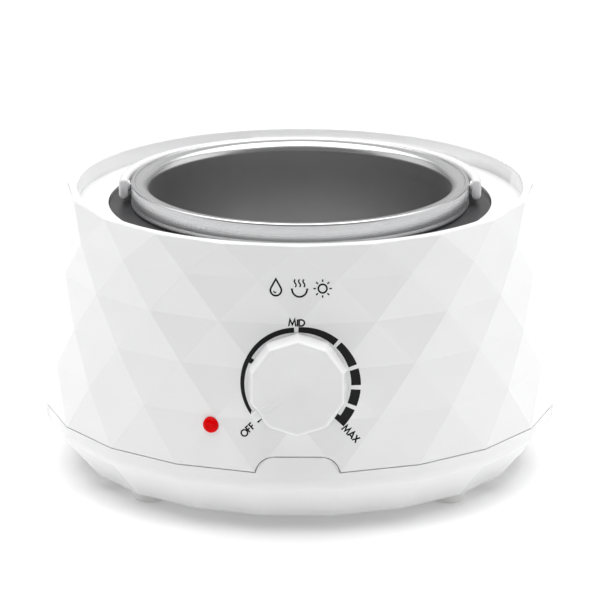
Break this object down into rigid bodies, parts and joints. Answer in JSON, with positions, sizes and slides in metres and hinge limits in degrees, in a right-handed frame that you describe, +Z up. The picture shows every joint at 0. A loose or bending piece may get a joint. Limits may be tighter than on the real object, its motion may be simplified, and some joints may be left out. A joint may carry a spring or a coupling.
{
  "type": "wax warmer",
  "caption": "Round faceted wax warmer: a plastic body with a heated aluminium well, a lift-out aluminium pot with a folding bail, and a temperature knob and lamp at the front.",
  "frame": {"origin": "on the standing plane, under the middle of the overall box; the round body's own axis is 5 mm behind it", "axes": "+Z up, -Y out of the front where the knob is, +X to the right as seen from the front"},
  "size_m": [0.186, 0.1949, 0.1063],
  "materials": {
    "white_plastic": "gloss",
    "knob_plastic": "satin gloss",
    "handle_plastic": "gloss",
    "foot_rubber": "matte",
    "dark_plastic": "fine matte",
    "pot_aluminium": "satin",
    "well_aluminium": "drawn",
    "plated_steel": "zinc plated",
    "brass": "bright",
    "red_lens": "gloss",
    "lamp_glass": "clear",
    "black_plastic": "fine matte",
    "ceramic": "matte ceramic",
    "mica": "mica sheet",
    "wire_insulation": "silicone"
  },
  "bodies": {
    "housing": {"outer_shell": "white_plastic", "base_shell": "white_plastic", "insulating_ring": "dark_plastic", "heating_chamber": "well_aluminium", "chamber_spacers": "ceramic", "chamber_screws": "plated_steel", "base_screws": "plated_steel", "heater_band": "mica", "heater_clamp": "plated_steel", "clamp_screw": "plated_steel", "heater_tabs": "brass", "thermostat_bracket": "plated_steel", "thermostat_screws": "plated_steel", "thermostat_body": "ceramic", "bimetal_strip": "plated_steel", "contact_blades": "brass", "indicator_lens": "red_lens", "lens_retainer": "plated_steel", "neon_lamp": "lamp_glass", "power_inlet": "black_plastic", "inlet_pins": "brass", "thermal_fuse": "ceramic", "fuse_clip": "plated_steel", "live_wire": "wire_insulation", "fuse_wire": "wire_insulation", "heater_wire": "wire_insulation", "neutral_wire": "wire_insulation", "foot_front_left": "foot_rubber", "foot_front_right": "foot_rubber", "foot_rear_left": "foot_rubber", "foot_rear_right": "foot_rubber"},
    "pot": {"wax_pot": "pot_aluminium", "pivot_pins": "plated_steel"},
    "bail": {"pot_handle": "handle_plastic"},
    "knob": {"control_knob": "knob_plastic", "thermostat_shaft": "plated_steel", "knob_ring": "plated_steel"}
  },
  "joints": [
    {"name": "pot_lift", "type": "slide", "parent": "housing", "child": "pot", "axis": [0, 0, 1], "range_m": [0, 0.085]},
    {"name": "handle_swing", "type": "hinge", "parent": "pot", "child": "bail", "pos_m": [0, 0.005, 0.1032], "axis": [1, 0, 0], "range_deg": [0, 183.5]},
    {"name": "knob_turn", "type": "hinge", "parent": "housing", "child": "knob", "pos_m": [0, -0.08526, 0.056], "axis": [0, 0.9945, -0.1045], "range_deg": [0, 267]}
  ]
}
